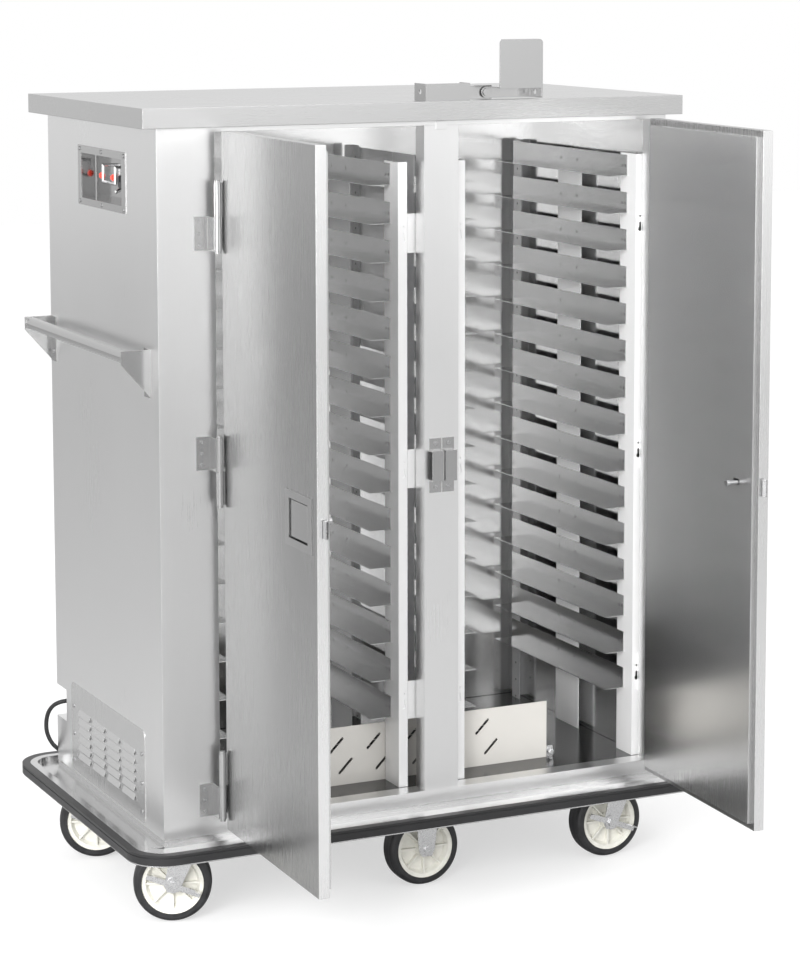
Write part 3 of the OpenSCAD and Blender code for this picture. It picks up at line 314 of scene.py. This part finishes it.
class Nodes:
    """A node tree, with short ways to add nodes."""

    def __init__(self, nt):
        self.nt = nt
        self.coord = self.node("TexCoord")

    def join(self, socket, value):
        """Links the value to the socket, or sets it as the socket's own."""
        if hasattr(value, "is_output"):
            self.nt.links.new(value, socket)
        else:
            socket.default_value = value

    def node(self, kind, inputs=None, **settings):
        """A node, with its settings and then its inputs, by name or place."""
        n = self.nt.nodes.new("ShaderNode" + kind)
        for key, value in settings.items():
            setattr(n, key, value)
        for key, value in (inputs or {}).items():
            self.join(n.inputs[key], value)
        return n

    def noise(self, scale, detail=3.0, rough=0.5, stretch=(1, 1, 1)):
        m = self.node("Mapping", {"Vector": self.coord.outputs["Object"], "Scale": stretch})
        return self.node(
            "TexNoise",
            {"Vector": m.outputs[0], "Scale": scale, "Detail": detail, "Roughness": rough},
        ).outputs[0]

    def span(self, value, low, high, a=NOISE_LOW, b=NOISE_HIGH):
        """Maps a to b on low to high."""
        return self.node("MapRange", {"Value": value, 1: a, 2: b, 3: low, 4: high}).outputs[0]

    def tones(self, noise, low, high):
        """Colours a noise from low to high."""
        r = self.node("ValToRGB", {"Fac": noise})
        stops = (NOISE_LOW, low), (NOISE_HIGH, high)
        for element, (stop, colour) in zip(r.color_ramp.elements, stops):
            element.position = stop
            element.color = (*colour, 1)
        return r.outputs[0]

    def math(self, op, a, b=0.0):
        return self.node("Math", {0: a, 1: b}, operation=op).outputs[0]

    def vector(self, op, inputs, output="Vector"):
        return self.node("VectorMath", inputs, operation=op).outputs[output]

    def mix_colours(self, part, a, b):
        """Colour a where part is zero and b where it is one."""
        return self.node("Mix", {0: part, 6: a, 7: b}, data_type="RGBA").outputs[2]

    def camera_ray(self):
        return self.node("LightPath").outputs["Is Camera Ray"]


class Tree(Nodes):
    """A material's node tree around its Principled BSDF."""

    def __init__(self, name, base, metallic=0.0, rough=0.5):
        self.mat = bpy.data.materials.new(name)
        self.mat.use_nodes = True
        super().__init__(self.mat.node_tree)
        self.bsdf = self.nt.nodes["Principled BSDF"]
        self.put("Base Color", (*base, 1))
        self.put("Metallic", metallic)
        self.put("Roughness", rough)
        self.mat.diffuse_color = (*base, 1)

    def put(self, socket, value):
        self.join(self.bsdf.inputs[socket], value)

    def bump(self, height, strength=0.1, distance=0.001, edge=0.0):
        """Bumps of this height, on edges that look rounded to the radius edge."""
        b = self.node("Bump", {"Strength": strength, "Distance": distance, "Height": height})
        if edge:
            rounded = self.node("Bevel", {"Radius": edge}, samples=BEVEL_SAMPLES)
            self.join(b.inputs["Normal"], rounded.outputs[0])
        self.put("Normal", b.outputs[0])


def shades(base, change):
    """The base colour, darker and brighter by the change."""
    return tuple(c - change for c in base), tuple(min(c + change, 1) for c in base)


# Brushed sheet: fine lines along the grain and broad clouds
GRAIN_SCALE, GRAIN_STRETCH = 900, 0.012
CLOUD_SCALE = 2.6
GRAIN_ROUGH, CLOUD_ROUGH = 0.014, 0.02
GRAIN_TONE, CLOUD_TONE = 0.45, 0.55
SHEET_MOTTLE = 0.01


def steel(name, tone, rough, grain, metal=1.0, edge=0.0012):
    """Satin stainless sheet. grain is the axis that the brushing runs along."""
    base = (tone, tone, tone)
    t = Tree(name, base, metallic=metal, rough=rough)
    stretch = tuple(GRAIN_STRETCH if axis == grain else 1 for axis in "XYZ")
    fine = t.noise(GRAIN_SCALE, detail=2, stretch=stretch)
    broad = t.noise(CLOUD_SCALE, rough=0.55)
    grain_rough = t.span(fine, rough - GRAIN_ROUGH, rough + GRAIN_ROUGH)
    t.put("Roughness", t.math("ADD", grain_rough, t.span(broad, -CLOUD_ROUGH, CLOUD_ROUGH)))
    grain_tone = t.math("MULTIPLY", fine, GRAIN_TONE)
    cloud_tone = t.math("MULTIPLY", broad, CLOUD_TONE)
    t.put("Base Color", t.tones(t.math("ADD", grain_tone, cloud_tone), *shades(base, SHEET_MOTTLE)))
    t.bump(fine, strength=0.012, distance=0.0004, edge=edge)
    return t


def tone_where(t, mask, tone):
    """Gives the places where the mask is one a tone of their own."""
    before = t.bsdf.inputs["Base Color"].links[0].from_socket
    t.put("Base Color", t.mix_colours(mask, before, (tone, tone, tone, 1)))
    return t.mat


def place(t, axis):
    return t.node("SeparateXYZ", {"Vector": t.coord.outputs["Object"]}).outputs[axis]


def spots(t, ys, z0, pitch, radius):
    """Round marks at each y, repeated up the piece from z0. In mm of the working frame."""
    y_place, z_place = place(t, "Y"), place(t, "Z")
    level = t.math("DIVIDE", t.math("SUBTRACT", z_place, z0 / MM), pitch / MM)
    step = t.math("FRACT", t.math("ADD", level, 0.5))
    dz = t.math("MULTIPLY", t.math("SUBTRACT", step, 0.5), pitch / MM)
    dz2 = t.math("MULTIPLY", dz, dz)
    total = 0.0
    for y in ys:
        dy = t.math("SUBTRACT", y_place, at(0, y, 0).y)
        away2 = t.math("ADD", dz2, t.math("MULTIPLY", dy, dy))
        total = t.math("MAXIMUM", t.math("LESS_THAN", away2, (radius / MM) ** 2), total)
    return total


# Tarnish: how far it takes the roughness down and up, and the tone either way
TARNISH_DOWN, TARNISH_UP, TARNISH_TONE = 0.06, 0.08, 0.04
SMALL_EDGE = 0.0006


def plain_metal(name, tone, rough, scale=260):
    """Zinc plate, screws and rods: an even metal with a little tarnish."""
    base = (tone, tone, tone * 1.01)
    t = Tree(name, base, metallic=1.0, rough=rough)
    tarnish = t.noise(scale, detail=4, rough=0.6)
    t.put("Roughness", t.span(tarnish, rough - TARNISH_DOWN, rough + TARNISH_UP))
    t.put("Base Color", t.tones(tarnish, *shades(base, TARNISH_TONE)))
    t.bump(tarnish, strength=0.08, distance=0.0002, edge=SMALL_EDGE)
    return t.mat


# Moulded skin: the scale of its clouds, and how far they take the roughness down and up
SKIN_CLOUDS, SKIN_DOWN, SKIN_UP = 14, 0.05, 0.06


def moulded(name, base, rough, scale=700, strength=0.15, mottle=0.15):
    """Rubber, plastic and paint with a fine skin."""
    t = Tree(name, base, rough=rough)
    broad = t.noise(SKIN_CLOUDS, detail=2)
    t.put("Roughness", t.span(broad, rough - SKIN_DOWN, rough + SKIN_UP))
    dark, bright = (tuple(c * part for c in base) for part in (1 - mottle, 1 + mottle))
    t.put("Base Color", t.tones(broad, dark, bright))
    t.bump(t.noise(scale, rough=0.6), strength=strength, distance=0.0003, edge=SMALL_EDGE)
    return t.mat


def wheel_material(name, centre, axle):
    """Black tread outside the rim and a cream hub inside it, by the distance from the axle."""
    t = Tree(name, (0.1, 0.1, 0.105), rough=0.5)
    away = t.vector("SUBTRACT", {0: t.coord.outputs["Object"], 1: tuple(centre)})
    along = t.vector("DOT_PRODUCT", {0: away, 1: tuple(axle)}, "Value")
    back = t.vector("SCALE", {0: tuple(axle), "Scale": along})
    radius = t.vector("LENGTH", {0: t.vector("SUBTRACT", {0: away, 1: back})}, "Value")
    grime = t.noise(60, detail=4, rough=0.6)
    cream = t.tones(grime, (0.7, 0.69, 0.63), (0.82, 0.81, 0.75))
    black = t.tones(grime, (0.012, 0.012, 0.013), (0.03, 0.03, 0.032))
    tread = t.math("GREATER_THAN", radius, TREAD_R / MM)
    t.put("Base Color", t.mix_colours(tread, cream, black))
    t.put("Roughness", t.span(grime, 0.38, 0.55))
    t.bump(t.noise(500, detail=2), strength=0.12, distance=0.0003, edge=0.0012)
    return t.mat


def door_pan(name, edge_y):
    """A door's outer pan, with its folded edge in front of edge_y painted brighter: a painted
    highlight.
    """
    t = steel(name, 0.45, 0.27, "Z")
    return tone_where(t, t.math("LESS_THAN", place(t, "Y"), at(0, edge_y, 0).y), 0.92)


def liner():
    """The cabinet's liner, with the floor of the bays painted dark: a painted reflection of the
    dark interior.
    """
    t = steel("liner_steel", 0.94, 0.17, "Z", edge=0)
    return tone_where(t, t.math("LESS_THAN", place(t, "Z"), (BAY_FLOOR_Z + 1) / MM), 0.1)


def rack():
    """Rack uprights, with round painted shade up the rear ones where their hanging holes are."""
    t = steel("rack_steel", 0.96, 0.4, "Z", metal=0.25, edge=0.0005)
    return tone_where(t, spots(t, RACK_HOLE_SHADE_YS, 360, LEVEL_PITCH / 2, 2.4), 0.3)


def slide():
    """Tray slides, with weld marks where they meet the uprights."""
    t = steel("slide_steel", 0.62, 0.22, "Y", edge=0.0004)
    return tone_where(t, spots(t, SLIDE_MARK_YS, 359, LEVEL_PITCH, 3.4), 0.36)


def lamp_lens():
    t = Tree("lamp_lens", (0.75, 0.05, 0.04), rough=0.15)
    t.put("Emission Color", (1.0, 0.1, 0.06, 1))
    t.put("Emission Strength", 0.5)
    facets = t.noise(500, detail=2)
    t.put("Base Color", t.tones(facets, (0.6, 0.03, 0.02), (0.85, 0.08, 0.05)))
    return t.mat


M = {
    "panel": steel("panel_steel", 0.86, 0.3, "Z").mat,
    "right_panel": steel("right_panel_steel", 0.82, 0.3, "Z").mat,
    "stile": steel("stile_steel", 0.84, 0.3, "Z", edge=0.001).mat,
    "cap": steel("cap_steel", 0.6, 0.28, "X", edge=0.002).mat,
    "deck": steel("deck_steel", 0.7, 0.2, "X", edge=0.0016).mat,
    "left_door": door_pan("left_door_steel", LEFT_EDGE_Y),
    "right_door": door_pan("right_door_steel", RIGHT_EDGE_Y),
    "door_inner": steel("door_liner_steel", 0.72, 0.25, "Z", edge=0.001).mat,
    "liner": liner(),
    "rack": rack(),
    "slide": slide(),
    "fitting": steel("fitting_steel", 0.52, 0.2, "Z", edge=0.0006).mat,
    "handle": steel("handle_steel", 0.54, 0.2, "Y", edge=0).mat,
    "louvre": steel("louvre_steel", 0.72, 0.26, "Z", edge=0.0005).mat,
    "zinc": plain_metal("zinc_plate", 0.74, 0.28),
    "screw": plain_metal("screw_steel", 0.5, 0.25, 500),
    "rod": plain_metal("heater_rod_steel", 0.1, 0.5),
    "chrome": plain_metal("polished_chrome", 0.88, 0.08, 120),
    "bumper": moulded("bumper_rubber", (0.018, 0.018, 0.019), 0.38, 420, 0.2),
    "black": moulded("black_plastic", (0.02, 0.02, 0.022), 0.38),
    "cord": moulded("cord_rubber", (0.018, 0.018, 0.019), 0.5, 900),
    "heater": moulded("heater_cover_paint", (0.74, 0.72, 0.68), 0.42, 300, 0.06, 0.02),
    # The control box's steel is toned dark for the shade inside its recess: painted shade.
    "box": steel("control_box_steel", 0.42, 0.12, "Y", edge=0.0006).mat,
    "lamp": lamp_lens(),
}

PAINT = {
    "panel": ["side_panel_left", "back_panel"],
    "right_panel": ["side_panel_right"],
    "stile": ["front_frame", "center_mullion"],
    "cap": ["top_cap"],
    "deck": ["deck_tray"],
    "left_door": ["left_door_pan"],
    "right_door": ["right_door_pan"],
    "door_inner": ["left_door_liner", "right_door_liner"],
    "liner": ["liner"],
    "rack": ["rack_uprights", "rack_brackets"],
    "slide": ["tray_slides"],
    "fitting": [
        "handle_brackets", "frame_hinges", "left_door_hinges", "right_door_hinges", "strikes",
        "lock_bracket", "lock_arm", "left_latch_case", "right_latch_case", "left_latch_paddle",
        "right_latch_paddle", "control_bezel",
    ],
    "handle": ["handle_tube"],
    "louvre": ["louvre_panel"],
    "zinc": [
        "caster_mounts", "fork_front_left", "fork_front_right", "fork_rear_left", "fork_rear_right",
        "brake_front_left", "brake_front_right", "brake_rear_left", "brake_rear_right",
    ],
    "screw": ["panel_screws", "hinge_rivets", "left_latch_bolt", "right_latch_bolt"],
    "rod": ["heater_element"],
    "chrome": ["knob_guard", "power_switch"],
    "bumper": ["bumper"],
    "black": ["thermostat_knob", "cord_plug", "strain_relief"],
    "heater": ["heater_cover"],
    "box": ["control_box"],
    "lamp": ["indicator_lights"],
}
WHEEL_JOINT = "_wheel_spin"


def paint(obj, material):
    obj.data.materials.clear()
    obj.data.materials.append(material)


for key, names in PAINT.items():
    for n in names:
        paint(N[n], M[key])
paint(mains, M["cord"])
paint(tie, M["black"])
paint(screw, M["zinc"])
for j in frame["joints"]:
    if j["name"].endswith(WHEEL_JOINT):
        node = "wheel_" + j["name"].removesuffix(WHEEL_JOINT)
        paint(N[node], wheel_material(node + "_material", j["pos_m"], j["axis"]))

# ---- floor, backdrop and light ----
FLOOR_HALF = 14
FLOOR_GLOW = 0.55
WHITE = (1, 1, 1, 1)
BRIGHT_SIDE = (0.55, -0.75, 0.35)
WORLD_LOW, WORLD_HIGH = 0.8, 1.1


def stage_floor():
    """A grey floor that the camera sees as white."""
    h = FLOOR_HALF
    bm = bmesh.new()
    bm.faces.new([bm.verts.new((x, y, 0)) for x, y in ((-h, -h), (h, -h), (h, h), (-h, h))])
    floor = mesh_object("studio_floor", bm)
    t = Tree("studio_floor", (0.45,) * 3, rough=0.9)
    t.put("Base Color", t.tones(t.noise(0.6, detail=2), (0.44,) * 3, (0.46,) * 3))
    strength = t.math("MULTIPLY", t.camera_ray(), FLOOR_GLOW)
    glow = t.node("Emission", {"Color": WHITE, "Strength": strength})
    add = t.node("AddShader", {0: t.bsdf.outputs[0], 1: glow.outputs[0]})
    t.join(t.nt.nodes["Material Output"].inputs["Surface"], add.outputs[0])
    paint(floor, t.mat)


def studio_world():
    """White light, a little stronger from one side. The camera sees an even white."""
    world = bpy.data.worlds.new("studio_world")
    bpy.context.scene.world = world
    world.use_nodes = True
    w = Nodes(world.node_tree)
    side = w.vector("DOT_PRODUCT", {0: w.coord.outputs["Generated"], 1: BRIGHT_SIDE}, "Value")
    light = w.span(side, WORLD_LOW, WORLD_HIGH, a=-0.8, b=0.9)
    seen = w.node("Mix", {0: w.camera_ray(), 2: light, 3: 1.0}, data_type="FLOAT").outputs[0]
    background = w.nt.nodes["Background"]
    w.join(background.inputs["Strength"], seen)
    w.join(background.inputs["Color"], WHITE)


def softbox(name, spot, target, size, power, mirrored=True):
    """A lamp of size x by y metres. A fill isn't mirrored in the steel."""
    data = bpy.data.lights.new(name, "AREA")
    data.shape = "RECTANGLE"
    data.size, data.size_y = size
    data.energy = power
    box = linked(name, data)
    box.location = spot
    box.visible_glossy = mirrored
    box.rotation_euler = (Vector(target) - Vector(spot)).to_track_quat("-Z", "Y").to_euler()


stage_floor()
studio_world()
LEFT = {"spot": (-3.4, -3.0, 2.1), "target": (0.2, 0, 0.9)}
softbox("left_light", size=(3.0, 3.0), power=130, **LEFT)
softbox("left_fill", size=(2.0, 2.4), power=180, mirrored=False, **LEFT)
softbox("front_light", spot=(0.8, -4.2, 2.8), target=(0, 0, 0.9), size=(2.4, 2.2), power=25)
softbox("top_light", spot=(-0.3, 0.2, 4.2), target=(0, 0, 0.8), size=(3.4, 3.0), power=30)

bpy.context.scene.view_settings.view_transform = "Standard"
